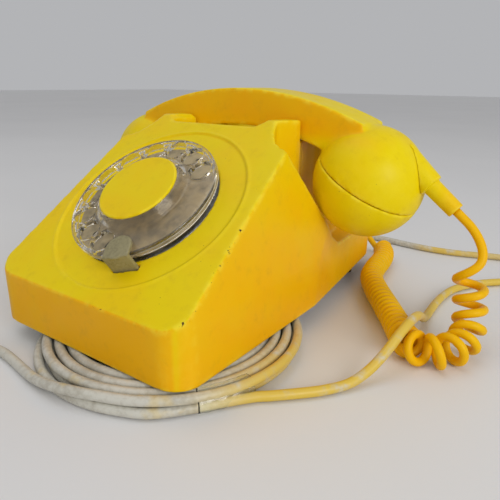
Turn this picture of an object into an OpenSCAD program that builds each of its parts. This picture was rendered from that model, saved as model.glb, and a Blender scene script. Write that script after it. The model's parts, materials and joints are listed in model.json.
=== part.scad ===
// Rotary dial table telephone: case, dial, bell, hook switch, handset and both cords.
// Origin: on the table, under the middle of the case. The dial faces -Y, and +Z is up.

/* [Case] */
// Width of the case at its bottom edge
case_w = 125.6; // [124:0.2:127]
// Depth of the case from front to back
case_d = 219; // [218:0.5:220]
// Height of the front lip, up to the dial face
lip_h = 26.2; // [25.6:0.1:26.8]
// Slope of the dial face, in degrees
face_slope = 35.7; // [35.4:0.1:36]
// Thickness of the case's wall
wall = 2.6; // [2:0.1:3]
// Radius of the two front corners
corner_r = 12.7; // [11:0.1:14]
// Height of the rubber feet, which leaves room for two layers of cord
foot_h = 9.5; // [9.5:0.1:10]

/* [Dial] */
// Distance of the dial's centre up the face from the lip
dial_up = 58.3; // [57.5:0.1:59]
// Radius of the finger wheel
wheel_r = 38.1; // [37.5:0.1:38.4]
// Radius of the circle of finger holes
hole_circle_r = 30.3; // [30:0.1:30.6]
// Radius of one finger hole
hole_r = 5.75; // [5.4:0.05:5.8]
// Angle from one finger hole to the next
hole_step = 25.5; // [25:0.1:26]
// Angle of the first finger hole, from the dial's right-hand side
first_hole = 39.5; // [38:0.5:41]
// Angle of the finger stop
stop_angle = -67; // [-69:0.5:-65]

/* [Handset] */
// Distance of each bulb's centre from the middle of the handset
bulb_x = 76.5; // [76:0.1:77]
// Radius of the earpiece and mouthpiece bulbs
bulb_r = 29.3; // [28.8:0.1:29.3]
// Lean of each bulb's cap towards the middle, in degrees
cap_lean = 28.8; // [26:0.1:30]
// Width of the handle, front to back
handle_w = 27; // [25:0.5:27]
// Height of the handle's top above the case's bottom edge
handle_top = 113; // [112.5:0.1:113.5]

/* [Cords] */
// Diameter of the line cord
line_cord_d = 4.6; // [4.4:0.1:4.6]
// Diameter of the handset cord's single strand
curl_cord_d = 4.3; // [4:0.1:4.6]

/* [Hidden] */
$fn = 48;
half_w = case_w / 2;
holes = 10;                     // finger holes
YELLOW = [0.93, 0.76, 0.03];
CLEAR = [0.75, 0.73, 0.68, 0.5];
GREY = [0.72, 0.70, 0.66];
STEEL = [0.62, 0.63, 0.65];
BRASS = [0.80, 0.65, 0.30];
BLACK = [0.10, 0.10, 0.10];
RUBBER = [0.20, 0.19, 0.18];
COPPER = [0.60, 0.32, 0.18];
BOARD = [0.45, 0.30, 0.16];

// --- places, measured from the case's front bottom edge --------------------------------
tan_s = tan(face_slope);
dial_y = dial_up * cos(face_slope);
dial_z = lip_h + dial_up * sin(face_slope);
apex_y = 83;                    // rear end of each cheek's top
apex_z = lip_h + apex_y * tan_s;
face_end_y = 99.4;              // top of the horns on the face
horn_top = lip_h + face_end_y * tan_s;
dip_z = 94.5;                   // face's top edge between the horns
seat_z = 86;                    // saddle floor that the handset's handle hangs over
handset_y = 133;                // middle of the handset
seat_front = handset_y - 15;
seat_rear = handset_y + 15;
bulb_z = 67;
top_arc_r = 190;                // arch of the handle's top and of its underside
low_arc_r = 150;
handle_low = 93;                // underside of the handle at its middle
plunger_x = 30;
plunger_r = 3.2;
plunger_top = 88.8;
plunger_foot = 69;
lever_y = 152;                  // hook lever's pivot
lever_z = 65.5;
bell_y = 118;                   // bell frame, coils and gongs
pivot_z = 34;                   // clapper's pivot
pivot_r = 0.85;
rod_r = 0.7;                    // clapper's rod
relief_r = 3.4;
gong_x = 19;
gong_r = 15;
gong_y = bell_y + 22;
gong_z = 50;
gland_z = 7.5;
gland_r = 3.6;
gland_flange_r = 5.4;
gland_len = 15;
line_gland_x = -20;
handset_gland_x = 30;
guide_r = 5;
inside_top = seat_z - wall;     // ceiling of the hollow, under the seat
inside_y = (inside_top - lip_h + wall / cos(face_slope)) / tan_s;
grip_w = 60;                    // finger grip at the back, under the cradle
grip_h = 22;
grip_y = 174;
grip_z = 52;
SCREWS = [[-44, 24], [44, 24], [-34, 206], [34, 206]];
FEET = [[24, 46], [40, 192]];

// --- gears: module, teeth and the direction of each line of centres ----------------------
gear_m = 0.6;
main_teeth = 60;
pulse_pinion_teeth = 12;
pulse_gear_teeth = 36;
governor_teeth = 9;
pulse_dir = 150;
governor_dir = 250;
pulse_dist = gear_m * (main_teeth + pulse_pinion_teeth) / 2;
governor_dist = gear_m * (pulse_gear_teeth + governor_teeth) / 2;
pulse_at = [pulse_dist * cos(pulse_dir), pulse_dist * sin(pulse_dir)];
governor_at = pulse_at + [governor_dist * cos(governor_dir), governor_dist * sin(governor_dir)];
cup_floor = -24;                // bottom of the dial's cup, below the face
main_gear_n = -9;
pulse_gear_n = -14;

// --- cord routes: x, y, z from the origin, on the table at z = 0 --------------------------
coil_at = [13, -61.5];
coil_in = 44.5;
coil_out = 66.5;
coil_h = 9.2;
// From the rear gland, out to the right, round and back to the coil under the front
LEAD = [
    [-20, 124.5, 17], [-20, 131, 16.7], [-19.5, 138, 14.8], [-18, 145, 11.2], [-15, 152, 7],
    [-9, 158.5, 3.9], [0, 163, 2.5], [11, 165.5, 2.3], [25, 165.5, 2.3], [41, 164, 2.3],
    [58, 162, 2.3], [74, 161, 2.3], [90, 162.5, 2.3], [106, 167, 2.3], [120, 172, 2.3],
    [133, 174.8, 2.3], [145, 174, 2.3], [154, 169.5, 2.3], [159.5, 162, 2.3], [161, 153, 2.3],
    [158.5, 144, 2.3], [153, 136.5, 2.3], [145, 129, 2.3], [135, 119.5, 2.3], [125.5, 109.5, 2.3],
    [118, 98, 2.3], [113, 86, 2.3], [111, 73, 2.3], [110.5, 60, 2.3], [111, 48, 2.3],
    [112, 36, 3.2], [113.5, 25, 6.8], [115, 14, 12.3], [116.5, 3, 17.6], [117, -8, 20],
    [116, -19, 18], [113.5, -30, 11.8], [110, -40, 6], [105.5, -50, 2.8], [99, -60, 2.3],
    [91, -69, 2.3], [83, -77, 2.3], [76, -84, 2.3]
];
// From the coil's front out to the left, where the plug lies
TAIL = [
    [30, -124, 6.9], [19, -127.5, 6.6], [7, -129, 5.2], [-5, -128.5, 3.6], [-17, -126.5, 2.6],
    [-29, -124.5, 2.3], [-41, -123.5, 2.3], [-53, -126, 2.9], [-66, -131, 5]
];
// Fat tube of the curled cord: x, y, z and outer radius
CURL = [
    [45, 133, 7.4, 7.2], [53, 121, 7.4, 7.2], [58.5, 108, 7.4, 7.2], [61.5, 94, 7.4, 7.2],
    [63.5, 80, 7.4, 7.2], [68, 63, 7.4, 7.2], [78, 46, 7.4, 7.2], [90, 29, 7.4, 7.2],
    [102, 12, 7.4, 7.2], [110, 0, 7.6, 7.4], [117, -9, 8.2, 8], [126, -13, 8.7, 8.5],
    [134, -7, 8.7, 8.5], [138, 4, 9, 8.5], [138, 14, 14, 8.5], [136, 19, 24, 8.5],
    [134, 21, 36, 8.5], [133, 22, 48, 8.5]
];
// Straight ends of the handset cord, at the handset and at the case
CURL_TAIL = [[133, 22, 48], [134, 22.8, 53], [132, 23.4, 58.5], [128.3, 23.5, 62.5], [122.8, 23.5, 66.9]];
CURL_END = [[30, 124.5, 17], [30, 129, 16], [32.5, 133.5, 13.5], [38, 136, 10], [45, 133, 7.4]];

// --- helpers ---------------------------------------------------------------------------
// Moves children from the case's front bottom edge to the object's origin
module from_front() translate([0, -case_d / 2, foot_h]) children();
// Local z is the face's normal and local y runs up the face, at the dial's centre
module on_dial() from_front() translate([0, dial_y, dial_z]) rotate([face_slope, 0, 0]) children();
// Local z is the axis of a bulb, pointing away from its cap
module on_bulb(side)
    from_front() translate([side * bulb_x, handset_y, bulb_z]) rotate([0, side * cap_lean, 0]) children();
// An outline in x and z, pushed back along y from y0 to y1
module along_y(y0, y1) translate([0, y1, 0]) rotate([90, 0, 0]) linear_extrude(y1 - y0) children();
// An outline in y and z, pushed along x over a width of w
module along_x(w) rotate([90, 0, 90]) translate([0, 0, -w / 2]) linear_extrude(w) children();
module tube(r_out, r_in, h) difference() {
    cylinder(r = r_out, h = h);
    translate([0, 0, -1]) cylinder(r = r_in, h = h + 2);
}
function arc_pts(c, r, a0, a1, n = 8) =
    [for (i = [0:n]) let (a = a0 + (a1 - a0) * i / n) [c[0] + r * cos(a), c[1] + r * sin(a)]];
// Both halves of an outline given for x > 0, from front to back
function both(half) = concat(half, [for (i = [len(half) - 1:-1:0]) [-half[i][0], half[i][1]]]);

function unit(v) = v / norm(v);
function tangent(p, i) = unit(p[min(i + 1, len(p) - 1)] - p[max(i - 1, 0)]);
function carried(p, i) = i == 0
    ? unit(cross(tangent(p, 0), [0.1, 0.2, 1]))
    : let (t = tangent(p, i), s = carried(p, i - 1)) unit(s - (s * t) * t);
// One closed tube through the points, with a ring of sides at each of them
module sweep(points, radii, sides = 8) {
    n = len(points);
    rings = [for (i = [0:n - 1])
        let (t = tangent(points, i), s = carried(points, i), u = cross(t, s))
        for (k = [0:sides - 1]) points[i] + radii[i] * (cos(360 * k / sides) * s + sin(360 * k / sides) * u)];
    walls = [for (i = [0:n - 2], k = [0:sides - 1])
        let (a = i * sides + k, b = i * sides + (k + 1) % sides) [a, a + sides, b + sides, b]];
    polyhedron(rings, concat([[for (k = [0:sides - 1]) k]], walls,
        [[for (k = [sides - 1:-1:0]) (n - 1) * sides + k]]));
}
function same(value, points) = [for (p = points) value];

// --- case --------------------------------------------------------------------------------
// Plan of the case, each wall moved inwards by t
module case_plan(t) polygon(both(concat(
    [[0, t]], arc_pts([half_w - corner_r, corner_r], corner_r - t, -90, 0),
    [[half_w - t, 106]], arc_pts([34, case_d - 16], 16 - t, 7.4, 90), [[0, case_d - t]])));
// Front view: the sides lean in a little above the lip
module case_front(t) polygon(both([[0, -1], [half_w - t, -1], [half_w - t, 0], [half_w - 0.5 - t, lip_h],
    [half_w - 6.6 - t, apex_z], [half_w - 8 - t, 110], [0, 110]]));
// Side view of the wide lower part, with the pocket behind each cheek
module cheek_side(t) polygon([
    [t, t > 0 ? -1 : 0], [t, lip_h + t * tan_s - t / cos(face_slope)],
    [apex_y - t, apex_z - t * tan_s - t / cos(face_slope)], [130 - t, 34 - t], [142, 27 - t], [164, 25.5 - t],
    [202, 24 - t], [211, 20.5 - t], [case_d - t, 12 - t], [case_d - t, t > 0 ? -1 : 0]]);
// Side view of the narrow upper part: horns, seat and sloping back
module block_side() polygon([
    [60, 20], [60, lip_h + 60 * tan_s], [face_end_y, horn_top], [101, horn_top + 0.3],
    [seat_front, 97.5], [seat_rear, 97.5], [163, 97], [171, 91], [200, 42], [208, 20]]);
// Plan of the upper part: face edge, horn, neck, rear horn and back
module block_plan(t) polygon(both([[0, 60], [56.2 - t, 60], [56.2 - t, 83], [47 - t, 87.2], [42.5 - t, 93],
    [39.6 - t, 99.4], [41.4 - t, 106], [43.2 - t, 113], [43 - t, 117.5], [41 - t, 121.5], [39.4 - t, 126],
    [39 - t, 133], [39.4 - t, 140], [41 - t, 144.5], [43 - t, 148.5], [43.2 - t, 154], [42 - t, 163],
    [39.5 - t, 175], [38 - t, 210], [0, 210]]));
module case_outside() {
    intersection() {
        linear_extrude(120) case_plan(0);
        along_x(140) cheek_side(0);
        along_y(-1, 230) case_front(0);
    }
    intersection() {
        along_x(120) block_side();
        linear_extrude(120) block_plan(0);
        linear_extrude(120) case_plan(0);
    }
}
// Hollow for the works, under the face, the seat and the finger grip
module case_inside() {
    intersection() {
        translate([0, 0, -1]) linear_extrude(120) case_plan(wall);
        along_x(140) cheek_side(wall);
        along_y(-1, 230) case_front(wall);
    }
    intersection() {
        along_x(120) polygon([[60, 15], [60, lip_h + 60 * tan_s - wall / cos(face_slope)],
            [inside_y, inside_top], [162, inside_top], [grip_y - wall, inside_top - 6],
            [grip_y - wall, grip_z - wall], [188, grip_z - wall], [200, 23], [204, 15]]);
        linear_extrude(120) block_plan(wall);
    }
}
module case() color(YELLOW) difference() {
    from_front() difference() {
        case_outside();
        difference() {
            case_inside();
            for (p = SCREWS) translate([p[0], p[1], 2.3]) cylinder(r = 4, h = 60);
        }
        for (p = SCREWS) translate([p[0], p[1], -1]) cylinder(r = 1.85, h = 13);
        // dip between the horns, the hollow behind it, and the seat for the handle
        along_y(90, 200) polygon([[-33.5, 110], [-33, 97], [-28, dip_z], [28, dip_z], [33, 97], [33.5, 110]]);
        along_x(60) polygon([[97.8, 110], [98.3, 94], [104, seat_z + 3], [110, seat_z], [156, seat_z],
            [162, seat_z + 3], [166, 94], [166.5, 110]]);
        along_x(120) polygon([[seat_front, 110], [seat_front, seat_z + 1], [seat_front + 1, seat_z],
            [seat_rear - 1, seat_z], [seat_rear, seat_z + 1], [seat_rear, 110]]);
        translate([-grip_w / 2, grip_y, grip_z]) cube([grip_w, 40, grip_h]);
        for (s = [-1, 1]) translate([s * plunger_x, handset_y, 78]) cylinder(r = guide_r, h = 10);
        for (x = [line_gland_x, handset_gland_x]) translate([x, case_d - 6, gland_z]) rotate([-90, 0, 0]) {
            cylinder(r = gland_r, h = 8);
            cylinder(r = gland_flange_r, h = 6 - wall);
        }
    }
    on_dial() {
        translate([0, 0, -0.6]) cylinder(r = 50.9, h = 5, $fn = 96);
        translate([0, 0, -8]) cylinder(r = 36.6, h = 12, $fn = 96);
        rotate(stop_angle) translate([39.1, -6.8, -8]) cube([2.6, 13.6, 12]);
    }
}
module base_plate() color(STEEL) from_front() difference() {
    translate([0, 0, 0.2]) linear_extrude(1.8) case_plan(wall + 0.4);
    for (p = SCREWS) translate([p[0], p[1], 0]) {
        translate([0, 0, 0.1]) cylinder(r1 = 3.4, r2 = 1.9, h = 1.5);
        cylinder(r = 1.9, h = 4);
    }
}
module foot(x, y) color(RUBBER) from_front() difference() {
    translate([x, y, -foot_h]) cylinder(r1 = 5.2, r2 = 6, h = foot_h + 0.2);
    translate([x, y, -foot_h - 1]) cylinder(r = 2, h = 4);
}
module case_screws() color(STEEL) from_front() for (p = SCREWS) translate([p[0], p[1], 0]) {
    translate([0, 0, 0.2]) cylinder(r1 = 3.2, r2 = 1.8, h = 1.4);
    translate([0, 0, 0.2]) cylinder(r = 1.8, h = 9);
}
module gland(x) from_front() translate([x, case_d, gland_z]) rotate([-90, 0, 0]) {
    translate([0, 0, -wall - 1.2]) cylinder(r = gland_flange_r, h = 1.2);
    translate([0, 0, -wall]) cylinder(r = gland_r, h = wall);
    cylinder(r1 = gland_flange_r, r2 = 3.2, h = gland_len);
}
module line_gland() color(GREY) gland(line_gland_x);
module handset_gland() color(YELLOW) gland(handset_gland_x);

// --- bell ----------------------------------------------------------------------------------
module bell_frame() color(STEEL) from_front() {
    translate([-34, bell_y - 9, 2]) cube([68, 18, 1.6]);
    translate([-1.2, bell_y - 6, 3.6]) cube([2.4, 3, pivot_z + 2.4 - 3.6]);
    translate([-1.2, bell_y + 3, 3.6]) cube([2.4, 3, pivot_z + 2.4 - 3.6]);
    translate([0, bell_y - 6.5, pivot_z]) rotate([-90, 0, 0]) cylinder(r = pivot_r, h = 13);
}
module bell_coils() from_front() for (s = [-1, 1]) translate([s * 12, bell_y, 3.6]) {
    color(COPPER) cylinder(r = 7.6, h = 22);
    color(STEEL) cylinder(r = 2.6, h = 27);
}
module gong_posts() color(STEEL) from_front() for (s = [-1, 1]) translate([s * gong_x, gong_y, 2]) {
    cylinder(r = 3, h = gong_z - 2);
    cylinder(r = 6, h = 1.5);
}
// A shallow cup, mouth down, on its post
module gong(side) color(BRASS) from_front() translate([side * gong_x, gong_y, gong_z])
    rotate_extrude() polygon([[3.1, 0], [3.1, -1.4], [gong_r - 5, -1.4], [gong_r - 1.5, -5],
        [gong_r - 1.5, -12], [gong_r, -12], [gong_r, -4], [gong_r - 4, 0]]);
module armature() color(STEEL) from_front() translate([0, bell_y, pivot_z]) difference() {
    union() {
        translate([-19, -2.4, -1]) cube([38, 4.8, 2]);
        rotate([90, 0, 0]) translate([0, 0, -2.4]) cylinder(r = 2.6, h = 4.8);
    }
    rotate([90, 0, 0]) translate([0, 0, -4]) cylinder(r = pivot_r + 0.05, h = 8);
    translate([0, 0, 1.3]) cylinder(r = rod_r, h = 3);
}
module clapper() color(STEEL) from_front() translate([0, bell_y, pivot_z]) {
    translate([0, 0, 1.3]) cylinder(r = rod_r, h = 8.7);
    translate([0, 0, 9.6]) rotate([-90, 0, 0]) cylinder(r = rod_r, h = 22);
    translate([0, 22, 9.6]) sphere(r = 2.2, $fn = 32);
}

// --- electrical pieces on the base plate ----------------------------------------------------
module induction_coil() from_front() translate([-30, 184, 2]) {
    color(BOARD) for (x = [-14, 12]) translate([x, -8, 0]) cube([2, 16, 16]);
    color(COPPER) translate([-12, 0, 8]) rotate([0, 90, 0]) cylinder(r = 6.5, h = 24);
}
module capacitor() color(GREY) from_front() translate([9, 166, 2]) cube([34, 14, 15]);
module terminal_board() color(BOARD) from_front() translate([2, 184, 2]) cube([26, 16, 5]);
module terminal_screws() color(BRASS) from_front()
    for (i = [0:3], j = [0:1]) translate([5.5 + 6.5 * i, 188 + 8 * j, 7]) cylinder(r = 2, h = 1.8);

// --- hook switch ------------------------------------------------------------------------------
module plunger_guides() color(GREY) from_front() for (s = [-1, 1])
    translate([s * plunger_x, handset_y, inside_top - 2]) {
        tube(guide_r, plunger_r + 0.08, seat_z - inside_top + 2);
        tube(guide_r + 1.2, plunger_r + 0.08, 2);
    }
module plunger(side) color(YELLOW) from_front() translate([side * plunger_x, handset_y, plunger_foot]) {
    cylinder(r = plunger_r, h = plunger_top - plunger_foot);
    cylinder(r = plunger_r + 1.3, h = 2);
}
module hook_bracket() color(STEEL) from_front() {
    for (s = [-1, 1]) translate([s * 26 - 1, lever_y - 5, lever_z - 4])
        cube([2, 10, inside_top - lever_z + 4]);
    translate([-27, lever_y, lever_z]) rotate([0, 90, 0]) cylinder(r = 1.2, h = 54);
}
module hook_lever() color(BRASS) from_front() translate([0, lever_y, lever_z]) difference() {
    union() {
        translate([-22, 0, 0]) rotate([0, 90, 0]) cylinder(r = 2.6, h = 44);
        translate([-22, -14, -0.9]) cube([44, 13, 1.8]);
        translate([-33, -22, 1]) cube([66, 8.2, 1.8]);
        translate([-22, -15, -0.9]) cube([44, 2, 3.7]);
        translate([-3, 1, -0.9]) cube([6, 11, 1.8]);
    }
    translate([-30, 0, 0]) rotate([0, 90, 0]) cylinder(r = 1.25, h = 60);
}
module hook_springs() from_front() translate([0, lever_y + 10, lever_z - 22]) {
    color(BOARD) translate([-5, 0, 0]) cube([10, 6, 8]);
    color(BRASS) for (i = [0:2]) translate([-3, 1 + 2 * i, 8]) cube([6, 0.5, 7]);
    color(STEEL) translate([-7, -1, -41.5]) cube([14, 8, 41.5]);
}

// --- dial ---------------------------------------------------------------------------------------
module dial_cup() color(STEEL) on_dial() difference() {
    union() {
        translate([0, 0, cup_floor]) cylinder(r = 34.6, h = 0.8 - cup_floor, $fn = 96);
        translate([0, 0, -4.4]) cylinder(r = 38.5, h = 1.5, $fn = 96);
        rotate(stop_angle) translate([36, -6.5, -4.4]) cube([6, 13, 1.5]);
    }
    translate([0, 0, cup_floor + 1.5]) cylinder(r = 33.2, h = 40, $fn = 96);
    translate([0, 0, cup_floor - 1]) cylinder(r = 3.06, h = 4);
    translate([pulse_at[0], pulse_at[1], cup_floor - 1]) cylinder(r = 1.06, h = 4);
    translate([governor_at[0], governor_at[1], cup_floor - 1]) cylinder(r = 0.86, h = 4);
}
module dial_screws() color(STEEL) on_dial() for (a = [40, 160, 280])
    rotate(a) translate([31, 0, cup_floor - 1.2]) cylinder(r = 2, h = 1.2);
module number_plate() color(GREY) on_dial() translate([0, 0, 0.8]) tube(36, 8, 0.9, $fn = 96);
module finger_stop() color(YELLOW) on_dial() rotate(stop_angle) {
    translate([39.4, -6.5, -2.9]) cube([1.8, 13, 12]);
    translate([35.4, -6.5, 7.6]) cube([5.8, 13, 1.5]);
    translate([35.4, 0, 7.6]) cylinder(r = 6.5, h = 1.5);
}
// Flat rim with the finger holes, a sloping hub and a web that carries the centre disc
module finger_wheel() color(CLEAR) on_dial() difference() {
    rotate_extrude($fn = 96) polygon([[3, 8.7], [18.6, 8.7], [22.6, 3.9], [wheel_r - 1.8, 3.9],
        [wheel_r - 1.8, 2.6], [wheel_r, 2.6], [wheel_r, 6.2], [wheel_r - 0.6, 6.8],
        [24.6, 6.8], [20.6, 9.9], [3, 9.9]]);
    for (i = [0:holes - 1]) rotate(first_hole + i * hole_step) translate([hole_circle_r, 0, 0])
        cylinder(r = hole_r, h = 10);
}
module centre_disc() color(YELLOW) on_dial() rotate_extrude($fn = 96)
    polygon([[0, 10.4], [3.4, 10.4], [3.4, 9.9], [20.2, 9.9], [20.2, 10.7], [19.7, 11.2], [0, 11.2]]);
module wheel_spindle() color(STEEL) on_dial() {
    translate([0, 0, cup_floor + 0.2]) cylinder(r = 3, h = 10.3 - cup_floor - 0.2);
    translate([0, 0, 7.2]) tube(6.5, 3, 1.5);
}
// Outline of a gear: four points to a tooth, thin enough to run with play
function gear_pts(teeth, turn) = [for (i = [0:teeth - 1], k = [0:3])
    let (a = turn + 360 / teeth * (i + [-0.21, -0.09, 0.09, 0.21][k]),
         r = gear_m * (teeth / 2 + [-1.1, 0.75, 0.75, -1.1][k])) [r * cos(a), r * sin(a)]];
module main_gear() color(BRASS) on_dial() translate([0, 0, main_gear_n]) linear_extrude(1.5) difference() {
    polygon(gear_pts(main_teeth, pulse_dir));
    circle(r = 3);
}
module on_pulse() on_dial() translate([pulse_at[0], pulse_at[1], 0]) children();
module on_governor() on_dial() translate([governor_at[0], governor_at[1], 0]) children();
module pulse_shaft() color(STEEL) on_pulse() translate([0, 0, cup_floor + 0.2]) cylinder(r = 1, h = 18);
module pulse_pinion() color(BRASS) on_pulse() translate([0, 0, main_gear_n - 0.8])
    linear_extrude(3) difference() {
    polygon(gear_pts(pulse_pinion_teeth, pulse_dir + 180 + 180 / pulse_pinion_teeth));
    circle(r = 1);
}
module pulse_gear() color(BRASS) on_pulse() translate([0, 0, pulse_gear_n]) linear_extrude(1.4) difference() {
    polygon(gear_pts(pulse_gear_teeth, governor_dir));
    circle(r = 1);
}
module pulse_cam() color(BLACK) on_pulse() translate([0, 0, pulse_gear_n + 2])
    linear_extrude(1.6) difference() {
    union() {
        circle(r = 3);
        translate([-1.6, -4.6]) square([3.2, 9.2]);
    }
    circle(r = 1);
}
module pulse_springs() color(BRASS) on_pulse() for (i = [0:1])
    translate([-9 - 2.2 * i, -10, pulse_gear_n + 1.9]) cube([0.5, 12, 2]);
module governor_cup() color(STEEL) on_governor() translate([0, 0, cup_floor + 1.5]) tube(8.4, 7.4, 5);
module governor_shaft() color(STEEL) on_governor()
    translate([0, 0, cup_floor + 0.2]) cylinder(r = 0.8, h = 13);
module governor_pinion() color(BRASS) on_governor() translate([0, 0, pulse_gear_n - 0.4])
    linear_extrude(2.2) difference() {
    polygon(gear_pts(governor_teeth, governor_dir + 180 + 180 / governor_teeth));
    circle(r = 0.8);
}
module governor_weights() color(BRASS) on_governor() translate([0, 0, cup_floor + 3]) {
    tube(2.4, 0.8, 3);
    for (s = [-1, 1]) translate([s * 4.4 - 2.2, -1, 0]) cube([4.4, 2, 3]);
}

// --- handset -----------------------------------------------------------------------------------
module handle_side() difference() {
    intersection() {
        translate([0, handle_top - top_arc_r]) circle(r = top_arc_r, $fn = 200);
        translate([-bulb_x, bulb_z]) square([2 * bulb_x, 60]);
    }
    translate([0, handle_low - low_arc_r]) circle(r = low_arc_r, $fn = 200);
}
module bulb_hollow(side) on_bulb(side) {
    sphere(r = bulb_r - 2.6);
    translate([0, 0, -60]) cylinder(r = bulb_r + 0.2, h = 60);
}
module handset_shell() color(YELLOW) difference() {
    union() {
        from_front() translate([0, handset_y, 0]) along_y(-handle_w / 2, handle_w / 2) handle_side();
        for (s = [-1, 1]) on_bulb(s) sphere(r = bulb_r);
    }
    for (s = [-1, 1]) bulb_hollow(s);
    on_relief() translate([0, 0, -14]) cylinder(r = relief_r + 0.03, h = 16);
}
module bulb_cap(side) color(YELLOW) on_bulb(side) difference() {
    intersection() {
        sphere(r = bulb_r);
        translate([0, 0, -bulb_r + 2.4]) cylinder(r = 40, h = bulb_r - 2.6);
    }
    intersection() {
        sphere(r = bulb_r - 2.6);
        translate([0, 0, -bulb_r + 5]) cylinder(r = 40, h = bulb_r);
    }
    translate([0, 0, -40]) cylinder(r = 1.2, h = 30);
    for (i = [0:5]) rotate(60 * i) translate([6.5, 0, -40]) cylinder(r = 1.2, h = 30);
}
module ear_cap() bulb_cap(-1);
module mouth_cap() bulb_cap(1);
module receiver_capsule() color(STEEL) on_bulb(-1) translate([0, 0, -14]) cylinder(r = 20, h = 13);
module transmitter_capsule() color(BLACK) on_bulb(1) translate([0, 0, -15]) cylinder(r = 19, h = 11);
// Place where the cord leaves the mouthpiece bulb, at the end of the boot's flare
module on_relief() from_front() translate([109.3, handset_y, 68.4]) rotate([0, 129, 0]) children();
module handset_relief() color(YELLOW) {
    on_relief() {
        translate([0, 0, -10]) cylinder(r = relief_r, h = 10.1);
        cylinder(r1 = 4.5, r2 = 4.2, h = 17);
    }
    difference() {
        on_relief() translate([0, 0, -22]) cylinder(r1 = 8, r2 = 6.2, h = 22.1);
        on_bulb(1) sphere(r = bulb_r + 0.05);
    }
}

// --- cords -----------------------------------------------------------------------------------------
module line_cord_lead() color(GREY) sweep(LEAD, same(line_cord_d / 2, LEAD));
module line_cord_tail() color(GREY) sweep(TAIL, same(line_cord_d / 2, TAIL));
module line_cord_coil() color(GREY) translate([coil_at[0], coil_at[1], 0]) rotate_extrude($fn = 96)
    polygon([[coil_in, 1.5], [coil_in + 1.5, 0], [coil_out - 1.5, 0], [coil_out, 1.5], [coil_out, 3.6],
        [coil_out - 4, coil_h], [coil_in + 1.5, coil_h], [coil_in, coil_h - 1.5]]);
module cord_tape() color(CLEAR) translate([coil_at[0], coil_at[1], 0]) rotate(-36) rotate_extrude(angle = 18)
    polygon([[coil_out - 3, 0.2], [coil_out + 0.4, 0.2], [coil_out + 0.4, 4], [coil_out - 3.6, coil_h + 0.2],
        [coil_out - 3.6, coil_h], [coil_out, 3.6], [coil_out, 0.4], [coil_out - 3, 0.4]]);
module handset_cord_curl() color(YELLOW)
    sweep([for (p = CURL) [p[0], p[1], p[2]]], [for (p = CURL) p[3]], 10);
module handset_cord_tail() color(YELLOW) sweep(CURL_TAIL, same(curl_cord_d / 2, CURL_TAIL));
module handset_cord_end() color(YELLOW) sweep(CURL_END, same(curl_cord_d / 2, CURL_END));
module on_plug() translate([-66, -131, 0]) rotate(196) children();
module line_plug() color(GREY) on_plug() {
    translate([0, 0, 5]) rotate([0, 90, 0]) cylinder(r1 = 3.4, r2 = 4.6, h = 9);
    translate([9, -10, 0]) cube([26, 20, 14]);
}
module plug_blades() color(BRASS) on_plug() for (y = [-6, 4.5], z = [3, 9.5])
    translate([35, y, z]) cube([9, 1.5, 2]);

case();
base_plate();
foot(-FEET[0][0], FEET[0][1]);  // foot_front_left
foot(FEET[0][0], FEET[0][1]);  // foot_front_right
foot(-FEET[1][0], FEET[1][1]);  // foot_rear_left
foot(FEET[1][0], FEET[1][1]);  // foot_rear_right
gong(-1);  // gong_left
gong(1);  // gong_right
plunger(-1);  // plunger_left
plunger(1);  // plunger_right
case_screws();
number_plate();
dial_cup();
dial_screws();
finger_stop();
governor_cup();
pulse_springs();
gong_posts();
bell_frame();
bell_coils();
induction_coil();
capacitor();
terminal_board();
terminal_screws();
hook_bracket();
hook_springs();
plunger_guides();
line_gland();
handset_gland();
finger_wheel();
centre_disc();
wheel_spindle();
main_gear();
pulse_shaft();
pulse_pinion();
pulse_gear();
pulse_cam();
governor_shaft();
governor_pinion();
governor_weights();
hook_lever();
armature();
clapper();
handset_shell();
ear_cap();
mouth_cap();
receiver_capsule();
transmitter_capsule();
handset_relief();
handset_cord_curl();
handset_cord_tail();
handset_cord_end();
line_cord_lead();
line_cord_coil();
line_cord_tail();
cord_tape();
line_plug();
plug_blades();
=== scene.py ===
"""Rotary dial table telephone: painted case, clear dial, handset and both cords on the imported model."""
import json
import math

import bmesh
import bpy
import numpy as np
from bpy.props import FloatProperty, FloatVectorProperty, PointerProperty
from mathutils import Matrix, Vector


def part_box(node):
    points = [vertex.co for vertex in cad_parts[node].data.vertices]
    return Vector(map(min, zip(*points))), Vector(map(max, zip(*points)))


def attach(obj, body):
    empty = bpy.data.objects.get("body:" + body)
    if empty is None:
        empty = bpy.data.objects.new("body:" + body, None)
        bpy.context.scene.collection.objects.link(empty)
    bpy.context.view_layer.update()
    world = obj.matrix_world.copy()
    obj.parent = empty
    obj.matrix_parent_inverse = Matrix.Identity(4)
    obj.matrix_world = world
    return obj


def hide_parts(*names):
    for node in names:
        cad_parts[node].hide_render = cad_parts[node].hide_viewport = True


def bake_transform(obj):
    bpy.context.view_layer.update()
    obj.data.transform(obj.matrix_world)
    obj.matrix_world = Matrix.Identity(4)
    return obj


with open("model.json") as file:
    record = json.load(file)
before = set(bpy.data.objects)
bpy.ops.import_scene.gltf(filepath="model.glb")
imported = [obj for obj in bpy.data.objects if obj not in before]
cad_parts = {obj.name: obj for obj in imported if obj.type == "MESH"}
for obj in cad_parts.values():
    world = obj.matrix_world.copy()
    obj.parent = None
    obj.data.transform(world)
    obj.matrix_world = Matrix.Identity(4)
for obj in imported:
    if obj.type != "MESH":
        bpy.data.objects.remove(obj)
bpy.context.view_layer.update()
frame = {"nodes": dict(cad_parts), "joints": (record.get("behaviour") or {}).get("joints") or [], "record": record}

bl_info = {
    "name": "Rotary Table Telephone",
    "version": (1, 0, 0),
    "blender": (4, 5, 0),
    "location": "View3D > Sidebar > Telephone",
    "description": "Builds the finish, the cords and the stage of a rotary table telephone",
    "category": "Object",
}

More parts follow.
